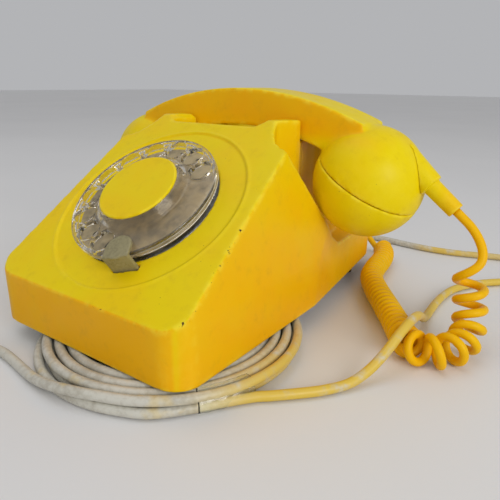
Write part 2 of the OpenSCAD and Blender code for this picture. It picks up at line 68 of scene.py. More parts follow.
MM = 0.001
DIAL = next(j for j in frame["joints"] if j["name"] == "dial_spin")
HOLE_CIRCLE = 30.3 * MM  # circle of the finger holes
FIRST_HOLE = 39.5
HOLE_STEP = 25.5
PLATE_TOP = 1.7 * MM  # top of the number plate, above the dial's face
CAMERA_PLACE = (0.17868, -0.22786, 0.12549)
CAMERA_TURN = (71.534, -0.6145, 35.593)  # degrees
LIT_POINT = Vector((0, 0, 0.05))  # both lamps face it
FLOOR_REACH = 6
FLOOR_DROP = 0.0002  # keeps the floor just under the feet
PAINT_SHINE = 0.13
PAINT_DEPTH = 0.22 * MM
OVERSPRAY = (0.72, 0.50, 0.06, 1)
OLD_VINYL = (0.44, 0.41, 0.33, 1)


# --- sizes and colours that a user would change ---------------------------------------------
class PaintProperties(bpy.types.PropertyGroup):
    # Lemon and amber are two tones of the paint, and the amber also stands in for painted shade on sides, fronts
    # and undersides.
    lemon: FloatVectorProperty(
        name="Lemon", description="Paint where the last coat lies thick", subtype="COLOR",
        size=4, min=0, max=1, default=(0.83, 0.64, 0.001, 1))
    amber: FloatVectorProperty(
        name="Amber", description="Paint on the sides and the front, where it is thinner", subtype="COLOR",
        size=4, min=0, max=1, default=(0.90, 0.45, 0.001, 1))
    under: FloatVectorProperty(
        name="Under the paint", description="Old surface that shows in a chip", subtype="COLOR",
        size=4, min=0, max=1, default=(0.075, 0.028, 0.014, 1))
    wear: FloatProperty(
        name="Edge wear", description="How much of the edges is chipped", min=0, max=1, default=0.17)
    rounding: FloatProperty(
        name="Mesh spacing", description="Spacing of the case's mesh, which sets how far its edges round off",
        subtype="DISTANCE", unit="LENGTH", min=0.0005, max=0.002, default=0.00075)


class CordProperties(bpy.types.PropertyGroup):
    line_diameter: FloatProperty(
        name="Line cord", description="Diameter of the line cord", subtype="DISTANCE", unit="LENGTH",
        min=0.003, max=0.006, default=0.0046)
    strand_diameter: FloatProperty(
        name="Curled strand", description="Diameter of the handset cord's strand", subtype="DISTANCE",
        unit="LENGTH", min=0.003, max=0.006, default=0.0043)
    close_pitch: FloatProperty(
        name="Close pitch", description="Distance between relaxed turns", subtype="DISTANCE",
        unit="LENGTH", min=0.0044, max=0.008, default=0.0046)
    open_pitch: FloatProperty(
        name="Open pitch", description="Distance between turns where the cord hangs", subtype="DISTANCE",
        unit="LENGTH", min=0.005, max=0.015, default=0.0092)
    line_colour: FloatVectorProperty(
        name="Line cord", description="Vinyl of the line cord", subtype="COLOR", size=4, min=0, max=1,
        default=(0.60, 0.58, 0.50, 1))


class DialProperties(bpy.types.PropertyGroup):
    clear: FloatVectorProperty(
        name="Clear plastic", description="Tint of the finger wheel", subtype="COLOR", size=4, min=0, max=1,
        default=(0.84, 0.79, 0.69, 1))
    plate: FloatVectorProperty(
        name="Number plate", description="Plate behind the finger wheel", subtype="COLOR",
        size=4, min=0, max=1, default=(0.44, 0.36, 0.22, 1))
    digit_height: FloatProperty(
        name="Digit height", description="Height of the digits on the plate", subtype="DISTANCE",
        unit="LENGTH", min=0.003, max=0.008, default=0.0062)


class StageProperties(bpy.types.PropertyGroup):
    floor: FloatVectorProperty(
        name="Floor", description="Plain floor", subtype="COLOR", size=4, min=0, max=1,
        default=(0.78, 0.77, 0.76, 1))
    key_power: FloatProperty(
        name="Key light", description="Power of the large light at the right", unit="POWER",
        min=0, max=200, default=7.3)
    top_power: FloatProperty(
        name="Top light", description="Power of the light overhead", unit="POWER",
        min=0, max=200, default=2.9)
    sky: FloatProperty(
        name="Room light", description="Strength of the even light of the room", min=0, max=2, default=0.47)
    lens: FloatProperty(
        name="Lens", description="Focal length of the camera", subtype="DISTANCE_CAMERA", unit="CAMERA",
        min=20, max=100, default=36.18)


# --- node building ----------------------------------------------------------------------------
class Graph:
    """Adds nodes to one tree and feeds sockets with other sockets or with plain values."""

    def __init__(self, tree):
        self.tree = tree

    def add(self, kind, **settings):
        node = self.tree.nodes.new(kind)
        for key, value in settings.items():
            setattr(node, key, value)
        return node

    def feed(self, socket, value):
        if isinstance(value, bpy.types.NodeSocket):
            self.tree.links.new(value, socket)
        else:
            socket.default_value = value

    def math(self, operation, a, b=0.0, clamp=False):
        node = self.add("ShaderNodeMath", operation=operation, use_clamp=clamp)
        self.feed(node.inputs[0], a)
        self.feed(node.inputs[1], b)
        return node.outputs[0]

    def mix(self, factor, a, b):
        node = self.add("ShaderNodeMix", data_type="RGBA")
        self.feed(node.inputs[0], factor)
        self.feed(node.inputs[6], a)
        self.feed(node.inputs[7], b)
        return node.outputs[2]

    def step(self, value, low, high, to_low=0.0, to_high=1.0):
        node = self.add("ShaderNodeMapRange", interpolation_type="SMOOTHSTEP")
        for socket, v in zip(node.inputs, (value, low, high, to_low, to_high)):
            self.feed(socket, v)
        return node.outputs[0]

    def place(self):
        return self.add("ShaderNodeTexCoord").outputs["Object"]

    def noise(self, scale, detail=3.0, rough=0.55):
        node = self.add("ShaderNodeTexNoise")
        self.feed(node.inputs["Vector"], self.place())
        self.feed(node.inputs["Scale"], scale)
        self.feed(node.inputs["Detail"], detail)
        self.feed(node.inputs["Roughness"], rough)
        return node.outputs["Fac"]

    def attribute(self, name):
        return self.add("ShaderNodeAttribute", attribute_name=name).outputs["Fac"]


def new_group(name, inputs, outputs):
    tree = bpy.data.node_groups.new(name, "ShaderNodeTree")
    for label, kind in inputs:
        tree.interface.new_socket(label, in_out="INPUT", socket_type=kind)
    for label, kind in outputs:
        tree.interface.new_socket(label, in_out="OUTPUT", socket_type=kind)
    graph = Graph(tree)
    return graph, graph.add("NodeGroupInput").outputs, graph.add("NodeGroupOutput").inputs


def group(name, build):
    return bpy.data.node_groups.get(name) or build(name)


def brushed_coats(name):
    """Sprayed paint: two tones, where the amber also stands in for painted shade, grime, a painted highlight along
    rounded edges, chips along worn edges and an orange-peel surface.
    """
    g, given, out = new_group(
        name,
        [("Lemon", "NodeSocketColor"), ("Amber", "NodeSocketColor"), ("Under", "NodeSocketColor"),
         ("Amber and shade", "NodeSocketFloat"), ("Edge", "NodeSocketFloat"), ("Spot", "NodeSocketFloat"),
         ("Wear", "NodeSocketFloat")],
        [("Color", "NodeSocketColor"), ("Roughness", "NodeSocketFloat"), ("Height", "NodeSocketFloat")])
    broad = g.noise(26, 3)
    # The amber mix is partly a second tone of the paint and partly painted shade on sides, fronts and undersides.
    amber_and_shade = g.math("ADD", given["Amber and shade"], g.step(broad, 0.35, 0.7, -0.12, 0.14), clamp=True)
    paint = g.mix(amber_and_shade, given["Lemon"], given["Amber"])
    grime = g.step(g.noise(150, 5, 0.65), 0.50, 0.78, 0.0, 0.16)
    paint = g.mix(grime, paint, (0.42, 0.22, 0.02, 1))
    # Painted highlight: lighter yellow along rounded edges, broken into patches.
    edge_highlight = g.math("MULTIPLY", given["Edge"], g.step(g.noise(210, 4), 0.40, 0.62))
    paint = g.mix(g.math("MULTIPLY", edge_highlight, 0.42), paint, (0.93, 0.79, 0.06, 1))
    worn = g.math("ADD", g.math("MULTIPLY", given["Edge"], given["Wear"]), given["Spot"])
    chip = g.step(g.math("ADD", g.noise(430, 5, 0.7), worn), 0.86, 0.90)
    speck = g.step(g.noise(900, 2), 0.745, 0.775)
    speck = g.math("MULTIPLY", speck, g.step(g.noise(40, 2), 0.50, 0.66))
    bare = g.math("MAXIMUM", chip, speck)
    g.feed(out["Color"], g.mix(bare, paint, given["Under"]))
    g.feed(out["Roughness"], g.math("ADD", g.step(g.noise(95, 4), 0.3, 0.75, 0.32, 0.50),
                                    g.math("MULTIPLY", bare, 0.25)))
    peel = g.math("MULTIPLY", g.noise(620, 2), 0.35)
    g.feed(out["Height"], g.math("SUBTRACT", peel, g.math("MULTIPLY", bare, 0.8)))
    return g.tree


def fine_grain(name):
    """Small changes of tone, a roughness that varies and a fine surface for plain materials."""
    g, given, out = new_group(
        name,
        [("Color", "NodeSocketColor"), ("Dark", "NodeSocketColor"), ("Scale", "NodeSocketFloat"),
         ("Low", "NodeSocketFloat"), ("High", "NodeSocketFloat")],
        [("Color", "NodeSocketColor"), ("Roughness", "NodeSocketFloat"), ("Height", "NodeSocketFloat")])
    node = g.add("ShaderNodeTexNoise")
    g.feed(node.inputs["Vector"], g.place())
    g.feed(node.inputs["Scale"], given["Scale"])
    g.feed(node.inputs["Detail"], 6.0)
    fine = node.outputs["Fac"]
    g.feed(out["Color"], g.mix(g.step(g.math("ADD", g.math("MULTIPLY", fine, 0.5),
                                             g.math("MULTIPLY", g.noise(60, 3), 0.5)), 0.38, 0.66),
                               given["Color"], given["Dark"]))
    g.feed(out["Roughness"], g.step(g.noise(130, 4), 0.3, 0.7, given["Low"], given["High"]))
    g.feed(out["Height"], fine)
    return g.tree


def windings(name):
    """Fine turns of wire round an upright or a level coil."""
    g, given, out = new_group(
        name, [("Color", "NodeSocketColor"), ("Dark", "NodeSocketColor")],
        [("Color", "NodeSocketColor"), ("Height", "NodeSocketFloat")])
    node = g.add("ShaderNodeTexWave", wave_type="BANDS", bands_direction="DIAGONAL")
    g.feed(node.inputs["Vector"], g.place())
    g.feed(node.inputs["Scale"], 520.0)
    g.feed(node.inputs["Distortion"], 0.4)
    g.feed(out["Color"], g.mix(node.outputs["Fac"], given["Dark"], given["Color"]))
    g.feed(out["Height"], node.outputs["Fac"])
    return g.tree


def new_material(name):
    material = bpy.data.materials.new(name)
    material.use_nodes = True
    graph = Graph(material.node_tree)
    shader = material.node_tree.nodes["Principled BSDF"]
    return material, graph, shader


def once(maker):
    """Gives back the material already made under a name, or makes it."""
    def made(name, *given, **more):
        return bpy.data.materials.get(name) or maker(name, *given, **more)
    return made


def bump(g, shader, height, distance, strength=1.0):
    node = g.add("ShaderNodeBump")
    node.inputs["Strength"].default_value = strength
    node.inputs["Distance"].default_value = distance
    g.feed(node.inputs["Height"], height)
    g.feed(shader.inputs["Normal"], node.outputs["Normal"])


@once
def paint_material(name, amber_and_shade=None, wear=None):
    """Yellow paint, lemon mixed with amber that also stands in for painted shade. Where the mesh holds no value
    for the amber and painted shade, one value is used all over.
    """
    own = bpy.context.scene.telephone_paint
    material, g, shader = new_material(name)
    node = g.add("ShaderNodeGroup", node_tree=group("Sprayed paint", brushed_coats))
    node.inputs["Lemon"].default_value = own.lemon
    node.inputs["Amber"].default_value = own.amber
    node.inputs["Under"].default_value = own.under
    g.feed(node.inputs["Amber and shade"], g.attribute("amber_and_shade") if amber_and_shade is None else amber_and_shade)
    g.feed(node.inputs["Edge"], g.attribute("edge"))
    g.feed(node.inputs["Spot"], g.attribute("spot"))
    node.inputs["Wear"].default_value = own.wear if wear is None else wear
    g.feed(shader.inputs["Base Color"], node.outputs["Color"])
    g.feed(shader.inputs["Roughness"], node.outputs["Roughness"])
    bump(g, shader, node.outputs["Height"], PAINT_DEPTH, 0.55)
    shader.inputs["Specular IOR Level"].default_value = PAINT_SHINE
    return material


def grain(g, colour, dark, scale, low, high):
    """The fine grain group with its settings."""
    node = g.add("ShaderNodeGroup", node_tree=group("Fine grain", fine_grain))
    for label, value in (("Color", colour), ("Dark", dark), ("Scale", scale), ("Low", low), ("High", high)):
        node.inputs[label].default_value = value
    return node


@once
def plain_material(name, colour, dark, low, high, scale=900.0, metallic=0.0, depth=0.00006):
    """Moulded, plated or printed surface with a fine grain."""
    material, g, shader = new_material(name)
    node = grain(g, colour, dark, scale, low, high)
    g.feed(shader.inputs["Base Color"], node.outputs["Color"])
    g.feed(shader.inputs["Roughness"], node.outputs["Roughness"])
    bump(g, shader, node.outputs["Height"], depth, 0.6)
    shader.inputs["Metallic"].default_value = metallic
    return material


@once
def vinyl_material(name, colour):
    """Grey vinyl, with paint that reached it beside the case."""
    material, g, shader = new_material(name)
    node = grain(g, colour, OLD_VINYL, 500, 0.34, 0.52)
    split = g.add("ShaderNodeSeparateXYZ")
    g.feed(split.inputs[0], g.place())
    x, y = split.outputs[0], split.outputs[1]
    # paint reached the strands at the right of the case, and not those behind it
    beside = g.math("MULTIPLY", g.step(x, 0.058, 0.082), g.step(y, 0.200, 0.150))
    spray = g.math("MULTIPLY", beside, g.step(g.noise(120, 4), 0.22, 0.50))
    stray = g.math("MULTIPLY", g.step(g.noise(55, 3), 0.60, 0.70), 0.35)
    g.feed(shader.inputs["Base Color"],
           g.mix(g.math("MAXIMUM", spray, stray), node.outputs["Color"], OVERSPRAY))
    g.feed(shader.inputs["Roughness"], node.outputs["Roughness"])
    bump(g, shader, node.outputs["Height"], 0.00004, 0.6)
    return material


@once
def copper_material(name):
    """Lacquered copper wire, in fine turns."""
    material, g, shader = new_material(name)
    node = g.add("ShaderNodeGroup", node_tree=group("Wire turns", windings))
    node.inputs["Color"].default_value = (0.62, 0.27, 0.12, 1)
    node.inputs["Dark"].default_value = (0.20, 0.07, 0.03, 1)
    g.feed(shader.inputs["Base Color"], node.outputs["Color"])
    bump(g, shader, node.outputs["Height"], 0.0002, 0.7)
    shader.inputs["Metallic"].default_value = 0.85
    shader.inputs["Roughness"].default_value = 0.35
    return material


@once
def clear_material(name, tint, low, high, depth):
    """See-through plastic with scratches, which lets the lamps through to what is behind it."""
    material, g, shader = new_material(name)
    shader.inputs["Base Color"].default_value = tint
    shader.inputs["Transmission Weight"].default_value = 1.0
    shader.inputs["IOR"].default_value = 1.47
    g.feed(shader.inputs["Roughness"], g.step(g.noise(170, 5, 0.7), 0.35, 0.72, low, high))
    bump(g, shader, g.noise(380, 4), depth, 0.5)
    through = g.add("ShaderNodeBsdfTransparent")
    through.inputs["Color"].default_value = (0.90, 0.88, 0.82, 1)
    mixed = g.add("ShaderNodeMixShader")
    g.feed(mixed.inputs[0], g.add("ShaderNodeLightPath").outputs["Is Shadow Ray"])
    g.feed(mixed.inputs[1], shader.outputs[0])
    g.feed(mixed.inputs[2], through.outputs[0])
    g.feed(material.node_tree.nodes["Material Output"].inputs["Surface"], mixed.outputs[0])
    return material


def slot_material(slot):
    """The finish of each material slot in the record."""
    cord = bpy.context.scene.telephone_cords
    dial = bpy.context.scene.telephone_dial
    makers = {
        "yellow_paint": lambda: paint_material("Yellow paint, plain", 0.15),
        "yellow_vinyl": lambda: paint_material("Painted vinyl", 0.75, 0.1),
        "grey_vinyl": lambda: vinyl_material("Grey vinyl", cord.line_colour),
        "clear_tape": lambda: clear_material("Clear tape", (0.86, 0.88, 0.85, 1), 0.04, 0.16, 0.0006),
        "clear_acrylic": lambda: clear_material("Clear acrylic", dial.clear, 0.06, 0.26, 0.00008),
        "number_ring": lambda: plain_material(
            "Number plate", dial.plate, (0.20, 0.165, 0.11, 1), 0.42, 0.62, 260, depth=0.00003),
        "steel": lambda: plain_material(
            "Plated steel", (0.58, 0.59, 0.60, 1), (0.42, 0.42, 0.43, 1), 0.26, 0.44, 700, 1.0),
        "brass": lambda: plain_material(
            "Brass", (0.72, 0.52, 0.22, 1), (0.50, 0.34, 0.13, 1), 0.22, 0.40, 700, 1.0),
        "copper": lambda: copper_material("Enamelled copper"),
        "grey_plastic": lambda: plain_material(
            "Grey plastic", (0.42, 0.42, 0.41, 1), (0.33, 0.33, 0.32, 1), 0.40, 0.58),
        "board": lambda: plain_material(
            "Laminate board", (0.34, 0.19, 0.09, 1), (0.22, 0.12, 0.05, 1), 0.45, 0.65, 320),
        "black_plastic": lambda: plain_material(
            "Black plastic", (0.035, 0.034, 0.033, 1), (0.02, 0.02, 0.02, 1), 0.35, 0.55),
        "rubber": lambda: plain_material(
            "Rubber", (0.045, 0.043, 0.040, 1), (0.028, 0.027, 0.025, 1), 0.62, 0.82, 1200),
    }
    return makers[slot]()


# --- mesh building ----------------------------------------------------------------------------
def add_object(name, mesh):
    obj = bpy.data.objects.new(name, mesh)
    bpy.context.scene.collection.objects.link(obj)
    return obj


def baked(obj):
    """The object's mesh with its modifiers applied."""
    view = bpy.context.evaluated_depsgraph_get()
    mesh = bpy.data.meshes.new_from_object(obj.evaluated_get(view))
    obj.modifiers.clear()
    obj.data = mesh
    return mesh


def dress(obj, material, slot, body, *nodes):
    """Gives the piece its finish and its body, and hides the CAD nodes that it stands in for. The slot is not
    used.
    """
    obj.data.materials.clear()
    obj.data.materials.append(material)
    for face in obj.data.polygons:
        face.use_smooth = True
    if nodes:
        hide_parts(*nodes)
    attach(obj, body)
    return obj


def points_of(mesh):
    co = np.empty(len(mesh.vertices) * 3)
    mesh.vertices.foreach_get("co", co)
    return co.reshape(-1, 3)


def normals_of(mesh):
    normals = np.empty(len(mesh.vertices) * 3)
    mesh.vertices.foreach_get("normal", normals)
    return normals.reshape(-1, 3)


def set_points(mesh, co):
    mesh.vertices.foreach_set("co", co.ravel())
    mesh.update()


def keep(mesh, name, values):
    """Stores one value for each vertex, for a material to read."""
    attribute = mesh.attributes.new(name, "FLOAT", "POINT")
    attribute.data.foreach_set("value", np.asarray(values, np.float32))


def ease(value, low, high):
    """Rises smoothly from 0 at low to 1 at high."""
    t = np.clip((value - low) / (high - low), 0, 1)
    return t * t * (3 - 2 * t)


def rounded_copy(name, nodes, voxel, passes, fill=0, faces=60000):
    """One even mesh over the CAD nodes, its edges rounded off and its inside corners filled."""
    bm = bmesh.new()
    for node in nodes:
        bm.from_mesh(frame["nodes"][node].data)
    bmesh.ops.remove_doubles(bm, verts=bm.verts, dist=1e-6)
    mesh = bpy.data.meshes.new(name)
    bm.to_mesh(mesh)
    bm.free()
    obj = add_object(name, mesh)
    even = obj.modifiers.new("Even mesh", "REMESH")
    even.mode = "VOXEL"
    even.voxel_size = voxel
    mesh = baked(obj)
    co = points_of(mesh)
    ends = np.empty(len(mesh.edges) * 2, int)
    mesh.edges.foreach_get("vertices", ends)
    a, b = ends.reshape(-1, 2).T
    count = np.bincount(ends, minlength=len(co))[:, None]

    def spread(values):
        gap = values[b] - values[a]
        return np.stack([np.bincount(a, gap[:, k], len(co)) - np.bincount(b, gap[:, k], len(co))
                         for k in range(values.shape[1])], 1) / count

    for _ in range(passes):
        co += 0.5 * spread(co)
    for _ in range(fill):
        set_points(mesh, co)
        normals = normals_of(mesh)
        rise = np.sum(spread(co) * normals, 1, keepdims=True)
        co += 0.9 * np.clip(rise - 0.02 * voxel, 0, None) * normals
    set_points(mesh, co)
    edge = np.clip(-np.sum(spread(co) * normals_of(mesh), 1, keepdims=True) / (0.09 * voxel), 0, 1)
    for _ in range(2):
        edge = edge + 0.5 * spread(edge)
    keep(mesh, "edge", np.clip(edge[:, 0] * 1.5, 0, 1))
    if len(mesh.polygons) * 2 > faces:
        thin = obj.modifiers.new("Thin out", "DECIMATE")
        thin.ratio = faces / (len(mesh.polygons) * 2)
        baked(obj)
    return obj


def even_path(points, step):
    """A smooth curve through the points, with a point every step along it. Extra columns follow."""
    p = np.asarray(points, float)
    p = np.vstack([2 * p[0] - p[1], p, 2 * p[-1] - p[-2]])
    t = np.linspace(0, 1, 24, endpoint=False)[:, None]
    runs = []
    for a, b, c, d in zip(p, p[1:], p[2:], p[3:]):
        runs.append(0.5 * (2 * b + (c - a) * t + (2 * a - 5 * b + 4 * c - d) * t ** 2
                           + (3 * b - a - 3 * c + d) * t ** 3))
    fine = np.vstack(runs + [p[-2:-1]])
    along = np.concatenate([[0], np.cumsum(np.linalg.norm(np.diff(fine[:, :3], axis=0), axis=1))])
    count = max(2, int(round(along[-1] / step)))
    where = np.linspace(0, along[-1], count + 1)
    return np.stack([np.interp(where, along, fine[:, k]) for k in range(fine.shape[1])], 1)


def length_of(path):
    return float(np.linalg.norm(np.diff(path[:, :3], axis=0), axis=1).sum())


def frames_along(path):
    """For each point, two directions across the path that turn as little as they can."""
    ahead = np.gradient(path[:, :3], axis=0)
    ahead /= np.linalg.norm(ahead, axis=1)[:, None]
    side = np.cross(ahead[0], [0.1, 0.2, 1])
    sides = []
    for t in ahead:
        side = side - side.dot(t) * t
        side /= np.linalg.norm(side)
        sides.append(side)
    sides = np.array(sides)
    return sides, np.cross(ahead, sides)


def tube_mesh(name, path, radius, sides=10):
    """A closed round tube along the path."""
    across, up = frames_along(path)
    turn = np.linspace(0, 2 * math.pi, sides, endpoint=False)
    ring = np.cos(turn)[None, :, None] * across[:, None] + np.sin(turn)[None, :, None] * up[:, None]
    verts = (path[:, None, :3] + radius * ring).reshape(-1, 3)
    faces = []
    for i in range(len(path) - 1):
        for k in range(sides):
            j = (k + 1) % sides
            faces.append((i * sides + k, i * sides + j, (i + 1) * sides + j, (i + 1) * sides + k))
    faces.append(tuple(range(sides))[::-1])
    faces.append(tuple((len(path) - 1) * sides + k for k in range(sides)))
    mesh = bpy.data.meshes.new(name)
    mesh.from_pydata(verts.tolist(), [], faces)
    bm = bmesh.new()
    bm.from_mesh(mesh)
    bmesh.ops.recalc_face_normals(bm, faces=bm.faces)
    bm.to_mesh(mesh)
    bm.free()
    return mesh


def dial_place(x, y, n):
    """Matrix to a place on the dial: x to the right, y up the face, n out of it."""
    normal = Vector(DIAL["axis"]).normalized()
    right = Vector((1, 0, 0))
    up = normal.cross(right)
    turn = Matrix((right, up, normal)).transposed().to_4x4()
    return Matrix.Translation(Vector(DIAL["pos_m"])) @ turn @ Matrix.Translation((x, y, n))


# --- cord routes, in millimetres from the origin -------------------------------------------------
COIL_AT = (13, -61.5)
COIL_START = -20.0  # degrees, where the lead joins the coil
COIL_OUTER = 66.0
COIL_INNER = 46.8
LOW_SPREAD = 19.2  # how far the lower layer winds inward, and the upper one outward
HIGH_SPREAD = 18.0
LOW_TURNS = 3.7
HIGH_TURNS = 3.4528  # ends where the tail begins
TABLE_CORD = 2.3  # height of a cord's middle on the table
LAYER = 4.6
LEAD = [
    (-20, 124.5, 17), (-20, 131, 16.7), (-19.5, 138, 14.8), (-18, 145, 11.2), (-15, 152, 7),
    (-9, 158.5, 3.9), (0, 163, 2.5), (11, 165.5, 2.3), (25, 165.5, 2.3), (41, 164, 2.3),
    (58, 162, 2.3), (74, 161, 2.3), (90, 162.5, 2.3), (106, 167, 2.3), (120, 172, 2.3),
    (133, 174.8, 2.3), (145, 174, 2.3), (154, 169.5, 2.3), (159.5, 162, 2.3), (161, 153, 2.3),
    (158.5, 144, 2.3), (153, 136.5, 2.3), (145, 129, 2.3), (135, 119.5, 2.3), (125.5, 109.5, 2.3),
    (118, 98, 2.3), (113, 86, 2.3), (111, 73, 2.3), (110.5, 60, 2.3), (111, 48, 2.3),
    (112, 36, 3.2), (113.5, 25, 6.8), (115, 14, 12.3), (116.5, 3, 17.6), (117, -8, 20),
    (116, -19, 18), (113.5, -30, 11.8), (110, -40, 6), (105.5, -50, 2.8), (99, -60, 2.3),
    (91, -69, 2.3), (83, -77, 2.3), (76, -84, 2.3),
]
TAIL = [
    (30, -124, 6.9), (19, -127.5, 6.6), (7, -129, 5.2), (-5, -128.5, 3.6), (-17, -126.5, 2.6),
    (-29, -124.5, 2.3), (-41, -123.5, 2.3), (-53, -126, 2.9), (-66, -131, 5),
]
CURL = [
    (45, 133, 7.4, 7.2), (53, 121, 7.4, 7.2), (58.5, 108, 7.4, 7.2), (61.5, 94, 7.4, 7.2),
    (63.5, 80, 7.4, 7.2), (68, 63, 7.4, 7.2), (78, 46, 7.4, 7.2), (90, 29, 7.4, 7.2),
    (102, 12, 7.4, 7.2), (110, 0, 7.6, 7.4), (117, -9, 8.2, 8), (126, -13, 8.7, 8.5),
    (134, -7, 8.7, 8.5), (138, 4, 9, 8.5), (138, 14, 14, 8.5), (136, 19, 24, 8.5),
    (134, 21, 36, 8.5), (133, 22, 48, 8.5),
]
CURL_TAIL = [(133, 22, 48), (134, 22.8, 53), (132, 23.4, 58.5), (128.3, 23.5, 62.5), (122.5, 23.5, 67.2)]
CURL_END = [(30, 124.5, 17), (30, 129, 16), (32.5, 133.5, 13.5), (38, 136, 10), (45, 133, 7.4)]
STRAIGHT_OUT = CURL_END[:3]  # the strand follows these, and then bends into the curl
STRAIGHT_IN = CURL_TAIL[3:]  # and these, where it goes into the boot
JOIN_START = (8 * MM, 20 * MM)  # stretch of the curl where the strand may join, from its beginning
JOIN_END = (5 * MM, 20 * MM)  # and from its end


def line_cord_path():
    """From the gland to the coil, round it in two layers, and out to the plug."""
    turns = []
    steps = 24
    low = int(LOW_TURNS * steps)
    for k in range(2, low + 1):
        angle = COIL_START - 360 * LOW_TURNS * k / low
        turns.append((angle, COIL_OUTER - LOW_SPREAD * k / low, TABLE_CORD))
    high = int(HIGH_TURNS * steps)
    for k in range(1, high):
        angle = COIL_START - 360 * (LOW_TURNS + HIGH_TURNS * k / high)
        turns.append((angle, COIL_INNER + HIGH_SPREAD * k / high, TABLE_CORD + LAYER * min(1, k / 4)))
    coil = []
    for angle, r, z in turns:
        a = math.radians(angle)
        r += 0.2 * math.sin(1.7 * a)
        coil.append((COIL_AT[0] + r * math.cos(a), COIL_AT[1] + r * math.sin(a), z))
    return even_path(np.array(LEAD + coil + TAIL) * MM, 2.2 * MM)


def unit(v):
    return v / np.linalg.norm(v)


def bridge(a, leaving, b, arriving):
    """A smooth curve from a to b that leaves and arrives in the given directions."""
    t = np.linspace(0, 1, 20)[:, None]
    reach = np.linalg.norm(b - a)
    return ((2 * t ** 3 - 3 * t ** 2 + 1) * a + (t ** 3 - 2 * t ** 2 + t) * reach * leaving
            + (3 * t ** 2 - 2 * t ** 3) * b + (t ** 3 - t ** 2) * reach * arriving)


def handset_cord_path(cord):
    """Out of the gland, curled along the table and up, and straight into the boot on the handset."""
    centre = even_path(np.array(CURL) * MM, 0.25 * MM)
    across, up = frames_along(centre)
    total = length_of(centre)
    along = np.linspace(0, total, len(centre))
    opened = ease(along / total, 0.60, 0.74)
    pitch = cord.close_pitch + (cord.open_pitch - cord.close_pitch) * opened
    # the turns are drawn out at both ends, so that the strand joins them gently
    pitch *= 1 + 3.5 * (1 - ease(along, 2 * MM, 20 * MM)) + 3.0 * (1 - ease(total - along, 2 * MM, 18 * MM))
    turn = np.concatenate([[0], np.cumsum(2 * math.pi * np.diff(along) / pitch[1:])])
    reach = centre[:, 3] - cord.strand_diameter / 2
    helix = centre[:, :3] + reach[:, None] * (np.cos(turn)[:, None] * across + np.sin(turn)[:, None] * up)
    ahead = np.gradient(helix, axis=0)
    ahead /= np.linalg.norm(ahead, axis=1)[:, None]
    start = even_path(np.array(STRAIGHT_OUT) * MM, 1.0 * MM)
    end = even_path(np.array(STRAIGHT_IN) * MM, 1.0 * MM)
    out_of = unit(start[-1] - start[-2])
    into = unit(end[1] - end[0])
    near_start = np.flatnonzero((along > JOIN_START[0]) & (along < JOIN_START[1]))
    near_end = np.flatnonzero((along > total - JOIN_END[1]) & (along < total - JOIN_END[0]))
    first = max(near_start, key=lambda i: (ahead[i] + out_of).dot(unit(helix[i] - start[-1])))
    last = max(near_end, key=lambda i: (ahead[i] + into).dot(unit(end[0] - helix[i])))
    path = np.vstack([
        start[:-1], bridge(start[-1], out_of, helix[first], ahead[first]),
        helix[first + 1:last],
        bridge(helix[last], ahead[last], end[0], into), end[1:]])
    return even_path(path, 1.6 * MM)


# --- operators: one for the stage and one for each group of pieces --------------------------------
class TELEPHONE_OT_stage(bpy.types.Operator):
    """Pale floor, soft studio lights and the camera"""

    bl_idname = "telephone.stage"
    bl_label = "Stage"

    def execute(self, context):
        own = context.scene.telephone_stage
        camera = bpy.data.cameras.new("camera")
        camera.lens = own.lens
        camera.sensor_width = 36
        camera.clip_start = 0.01
        holder = add_object("camera", camera)
        holder.location = CAMERA_PLACE
        holder.rotation_euler = [math.radians(a) for a in CAMERA_TURN]
        context.scene.camera = holder
        mesh = bpy.data.meshes.new("floor")
        corners = [(x * FLOOR_REACH, y * FLOOR_REACH, 0) for x, y in ((-1, -1), (1, -1), (1, 1), (-1, 1))]
        mesh.from_pydata(corners, [], [(0, 1, 2, 3)])
        floor = add_object("floor", mesh)
        floor.location.z = -FLOOR_DROP
        material, g, shader = new_material("Pale floor")
        shaded = [c * 0.97 for c in own.floor[:3]] + [1]
        g.feed(shader.inputs["Base Color"], g.mix(g.step(g.noise(3, 3), 0.3, 0.7), own.floor, shaded))
        shader.inputs["Roughness"].default_value = 0.45
        mesh.materials.append(material)
        for name, place, size, power in (
            ("key light", (1.10, -0.50, 0.55), 0.8, own.key_power),
            ("top light", (-0.25, -0.15, 1.25), 1.1, own.top_power),
        ):
            lamp = bpy.data.lights.new(name, "AREA")
            lamp.shape = "DISK"
            lamp.size = size
            lamp.energy = power
            light = add_object(name, lamp)
            light.location = place
            light.rotation_euler = (LIT_POINT - Vector(place)).to_track_quat("-Z", "Y").to_euler()
        world = bpy.data.worlds.new("studio")
        world.use_nodes = True
        room = world.node_tree.nodes["Background"]
        room.inputs["Color"].default_value = (0.96, 0.97, 1.0, 1)
        room.inputs["Strength"].default_value = own.sky
        context.scene.world = world
        context.scene.view_settings.view_transform = "Standard"
        return {"FINISHED"}


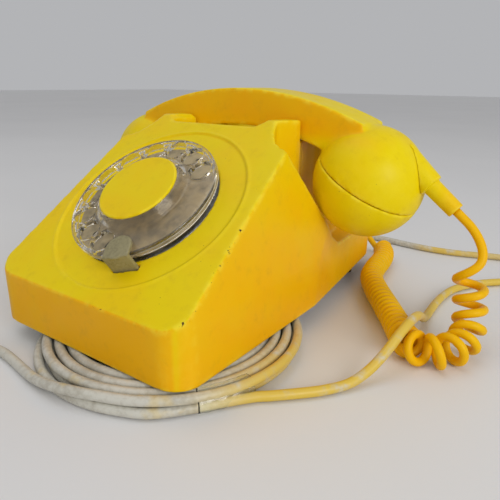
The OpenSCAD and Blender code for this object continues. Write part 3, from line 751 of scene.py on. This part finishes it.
class TELEPHONE_OT_line_cord(bpy.types.Operator):
    """Line cord in its coil, with the tape round it and its plug"""

    bl_idname = "telephone.line_cord"
    bl_label = "Line cord"

    def tape(self):
        """A crinkled film over one side of the coil, inside the room that the cord leaves."""
        profile = [(60.8, 9.45), (63.2, 9.35), (65.4, 7.2), (66.8, 5.2), (67.1, 3.2), (66.9, 1.2),
                   (65.4, 0.35)]
        profile = even_path([(r, 0, z) for r, z in profile], 0.6)
        angles = np.linspace(-38, -16, 26)
        verts = []
        for i, angle in enumerate(angles):
            a = math.radians(angle)
            for k, (r, _, z) in enumerate(profile):
                crinkle = 0.22 * math.sin(1.9 * i + 0.8 * k) * math.sin(0.7 * k + 0.9 * i)
                verts.append(((COIL_AT[0] + (r + crinkle) * math.cos(a)) * MM,
                              (COIL_AT[1] + (r + crinkle) * math.sin(a)) * MM, z * MM))
        n = len(profile)
        faces = [(i * n + k, i * n + k + 1, (i + 1) * n + k + 1, (i + 1) * n + k)
                 for i in range(len(angles) - 1) for k in range(n - 1)]
        mesh = bpy.data.meshes.new("tape_film")
        mesh.from_pydata(verts, [], faces)
        obj = add_object("tape_film", mesh)
        thick = obj.modifiers.new("Film", "SOLIDIFY")
        thick.thickness = 0.12 * MM
        baked(obj)
        return dress(obj, slot_material("clear_tape"), "clear_tape", "base", "cord_tape")

    def execute(self, context):
        cord = context.scene.telephone_cords
        path = line_cord_path()
        curve = bpy.data.curves.new("line_cord", "CURVE")
        curve.dimensions = "3D"
        curve.bevel_depth = cord.line_diameter / 2
        curve.bevel_resolution = 3
        curve.use_fill_caps = True
        spline = curve.splines.new("POLY")
        spline.points.add(len(path) - 1)
        spline.points.foreach_set("co", np.column_stack([path, np.ones(len(path))]).ravel())
        spline.use_smooth = True
        obj = add_object("line_cord", curve)
        curve.materials.append(slot_material("grey_vinyl"))
        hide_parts("line_cord_lead", "line_cord_coil", "line_cord_tail")
        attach(obj, "base")
        tape = self.tape()
        plug = rounded_copy("plug_body", ["line_plug"], 0.5 * MM, 5)
        dress(plug, slot_material("grey_vinyl"), "grey_vinyl", "base", "line_plug")
        return {"FINISHED"}


class TELEPHONE_OT_handset_cord(bpy.types.Operator):
    """Curled cord between the case and the handset, with the boot at the handset"""

    bl_idname = "telephone.handset_cord"
    bl_label = "Handset cord"

    def execute(self, context):
        cord = context.scene.telephone_cords
        path = handset_cord_path(cord)
        obj = add_object("handset_cord", tube_mesh("handset_cord", path, cord.strand_diameter / 2))
        obj.data.materials.append(slot_material("yellow_vinyl"))
        for face in obj.data.polygons:
            face.use_smooth = True
        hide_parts("handset_cord_curl", "handset_cord_tail", "handset_cord_end")
        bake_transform(obj)
        collar = rounded_copy("cord_collar", ["handset_relief"], 0.4 * MM, 4)
        co = points_of(collar.data)
        keep(collar.data, "amber_and_shade", 0.08 + 0.5 * ease(co[:, 0], 0.110, 0.122))
        dress(collar, paint_material("Yellow paint, boot", wear=0.06), "yellow_vinyl", "handset",
              "handset_relief")
        return {"FINISHED"}


class TELEPHONE_OT_case(bpy.types.Operator):
    """Painted case with rounded edges, the dish round the dial and chipped corners"""

    bl_idname = "telephone.case"
    bl_label = "Case"

    def execute(self, context):
        own = context.scene.telephone_paint
        obj = rounded_copy("painted_case", ["case"], own.rounding, 5, 6, faces=170000)
        mesh = obj.data
        co, normals = points_of(mesh), normals_of(mesh)
        flat = np.array(dial_place(0, 0, 0).inverted())
        local = co @ flat[:3, :3].T + flat[:3, 3]
        r = np.hypot(local[:, 0], local[:, 1])
        rim = (np.abs(local[:, 2]) < 1.4 * MM) & (r > 40 * MM) & (r < 56 * MM)
        lip = 0.28 * MM * np.exp(-((r - 51.7 * MM) / (0.7 * MM)) ** 2)
        wanted = lip - 0.6 * MM * (1 - ease(r, 50.2 * MM, 51.3 * MM))
        local[rim, 2] = wanted[rim]
        back = np.linalg.inv(flat)
        set_points(mesh, local @ back[:3, :3].T + back[:3, 3])
        low, high = (np.array(corner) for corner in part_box("case"))
        height = (co[:, 2] - low[2]) / (high[2] - low[2])
        # Painted shade: amber on the sides, more of it lower down, and on the front, partly also a real second
        # tone of the paint; the amber on the low rear ledge is painted shade.
        side = ease(np.abs(normals[:, 0]), 0.45, 0.85) * (0.74 - 0.60 * height ** 1.5)
        front = ease(-normals[:, 1], 0.68, 0.92) * 0.95
        rear_ledge_shade = 0.7 * ease(co[:, 1], low[1] + 90 * MM, low[1] + 105 * MM)
        rear_ledge_shade *= 1 - ease(co[:, 2], 45 * MM, 60 * MM)
        keep(mesh, "amber_and_shade", np.clip(0.16 + np.maximum(np.maximum(side, front), rear_ledge_shade), 0, 1))
        width = high[0]
        spots = (
            ((width, low[1] + 2 * MM, low[2] + 14 * MM), 15 * MM, 0.20),
            ((width - 4 * MM, low[1] + 8 * MM, 35 * MM), 9 * MM, 0.22),
            ((width * 0.25, low[1], 35.5 * MM), 11 * MM, 0.20),
            ((width, low[1] + 32 * MM, 62 * MM), 20 * MM, 0.12),
            ((-width * 0.8, low[1], 33 * MM), 8 * MM, 0.16),
        )
        spot = np.zeros(len(co))
        for centre, reach, amount in spots:
            gap = np.linalg.norm(co - np.array(centre), axis=1)
            spot = np.maximum(spot, amount * np.exp(-(gap / reach) ** 2))
        edge = np.empty(len(co))
        mesh.attributes["edge"].data.foreach_get("value", edge)
        keep(mesh, "spot", spot * (0.25 + 0.75 * edge))
        dress(obj, paint_material("Yellow paint, case"), "yellow_paint", "base", "case")
        return {"FINISHED"}


class TELEPHONE_OT_dial(bpy.types.Operator):
    """Clear finger wheel, centre disc, finger stop and the digits on the plate"""

    bl_idname = "telephone.dial"
    bl_label = "Dial"

    def execute(self, context):
        own = context.scene.telephone_dial
        wheel = rounded_copy("clear_wheel", ["finger_wheel"], 0.42 * MM, 3, faces=110000)
        dress(wheel, slot_material("clear_acrylic"), "clear_acrylic", "finger_wheel", "finger_wheel")
        disc = rounded_copy("painted_disc", ["centre_disc"], 0.32 * MM, 4)
        keep(disc.data, "amber_and_shade", np.full(len(disc.data.vertices), 0.2))
        dress(disc, paint_material("Yellow paint, disc", 0.2), "yellow_paint", "finger_wheel", "centre_disc")
        stop = rounded_copy("painted_stop", ["finger_stop"], 0.3 * MM, 4)
        dress(stop, plain_material("Olive paint", (0.30, 0.26, 0.13, 1), (0.20, 0.17, 0.08, 1), 0.25, 0.45),
              "yellow_paint", "base", "finger_stop")
        bm = bmesh.new()
        for i, digit in enumerate("1234567890"):
            a = math.radians(FIRST_HOLE + HOLE_STEP * i)
            words = bpy.data.curves.new("digit", "FONT")
            words.body = digit
            words.size = own.digit_height * 1.35
            words.align_x = "CENTER"
            words.align_y = "CENTER"
            words.extrude = 0.04 * MM
            words.offset = 0.06 * MM
            words.resolution_u = 3
            text = add_object("digit", words)
            context.view_layer.update()
            mesh = bpy.data.meshes.new_from_object(text.evaluated_get(context.evaluated_depsgraph_get()))
            mesh.transform(dial_place(HOLE_CIRCLE * math.cos(a), HOLE_CIRCLE * math.sin(a),
                                      PLATE_TOP + 0.05 * MM))
            bm.from_mesh(mesh)
            bpy.data.meshes.remove(mesh)
            bpy.data.objects.remove(text)
        bmesh.ops.remove_doubles(bm, verts=bm.verts, dist=1e-6)
        mesh = bpy.data.meshes.new("dial_digits")
        bm.to_mesh(mesh)
        bm.free()
        digits = add_object("dial_digits", mesh)
        mesh.materials.append(plain_material(
            "Digit ink", (0.035, 0.033, 0.03, 1), (0.02, 0.02, 0.018, 1), 0.45, 0.6))
        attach(digits, "base")
        return {"FINISHED"}


class TELEPHONE_OT_handset(bpy.types.Operator):
    """Handset shell with the two screwed caps"""

    bl_idname = "telephone.handset"
    bl_label = "Handset"

    def execute(self, context):
        shell = rounded_copy("painted_shell", ["handset_shell"], 0.75 * MM, 5, 26, faces=120000)
        mesh = shell.data
        co, normals = points_of(mesh), normals_of(mesh)
        # Painted shade, partly a real darker tone: amber on the front of the handle and a little on the
        # undersides.
        handle = ease(co[:, 2], 0.094, 0.104)
        front = ease(-normals[:, 1], 0.45, 0.85) * handle
        under = ease(-normals[:, 2], 0.1, 0.8) * 0.18
        keep(mesh, "amber_and_shade", np.clip(0.04 + np.maximum(front * 0.85, under), 0, 1))
        dress(shell, paint_material("Yellow paint, handset", wear=0.12), "yellow_paint", "handset",
              "handset_shell")
        for name, node in (("painted_ear_cap", "ear_cap"), ("painted_mouth_cap", "mouth_cap")):
            cap = rounded_copy(name, [node], 0.6 * MM, 3)
            normals = normals_of(cap.data)
            # Painted shade: a little amber on the undersides of the caps.
            keep(cap.data, "amber_and_shade", np.clip(0.02 + 0.16 * ease(-normals[:, 2], 0.2, 0.9), 0, 1))
            dress(cap, paint_material("Yellow paint, caps", wear=0.08), "yellow_paint", "handset", node)
        return {"FINISHED"}


class TELEPHONE_OT_works(bpy.types.Operator):
    """Finish of every piece that keeps its own shape"""

    bl_idname = "telephone.works"
    bl_label = "Works and small pieces"

    def execute(self, context):
        for part in frame["record"]["subparts"]:
            obj = frame["nodes"][part["node"]]
            obj.data.materials.clear()
            obj.data.materials.append(slot_material(part["material_slot"]))
        return {"FINISHED"}


class TELEPHONE_PT_panel(bpy.types.Panel):
    bl_idname = "TELEPHONE_PT_panel"
    bl_label = "Telephone"
    bl_space_type = "VIEW_3D"
    bl_region_type = "UI"
    bl_category = "Telephone"

    def draw(self, context):
        for operator in OPERATORS:
            self.layout.operator(operator.bl_idname)
        for owner in (context.scene.telephone_paint, context.scene.telephone_cords,
                      context.scene.telephone_dial, context.scene.telephone_stage):
            for name in type(owner).__annotations__:
                self.layout.prop(owner, name)


OPERATORS = (TELEPHONE_OT_stage, TELEPHONE_OT_line_cord, TELEPHONE_OT_handset_cord, TELEPHONE_OT_case,
             TELEPHONE_OT_dial, TELEPHONE_OT_handset, TELEPHONE_OT_works)
GROUPS = {"telephone_paint": PaintProperties, "telephone_cords": CordProperties,
          "telephone_dial": DialProperties, "telephone_stage": StageProperties}


def register():
    for kind in (*GROUPS.values(), *OPERATORS, TELEPHONE_PT_panel):
        bpy.utils.register_class(kind)
    for name, kind in GROUPS.items():
        setattr(bpy.types.Scene, name, PointerProperty(type=kind))


def unregister():
    for name in GROUPS:
        delattr(bpy.types.Scene, name)
    for kind in (TELEPHONE_PT_panel, *reversed(OPERATORS), *reversed(list(GROUPS.values()))):
        bpy.utils.unregister_class(kind)


def main():
    register()
    bpy.ops.telephone.stage()
    bpy.ops.telephone.line_cord()
    bpy.ops.telephone.handset_cord()
    bpy.ops.telephone.case()
    bpy.ops.telephone.dial()
    bpy.ops.telephone.handset()
    bpy.ops.telephone.works()
    bpy.context.view_layer.update()


if __name__ == "__main__":
    main()
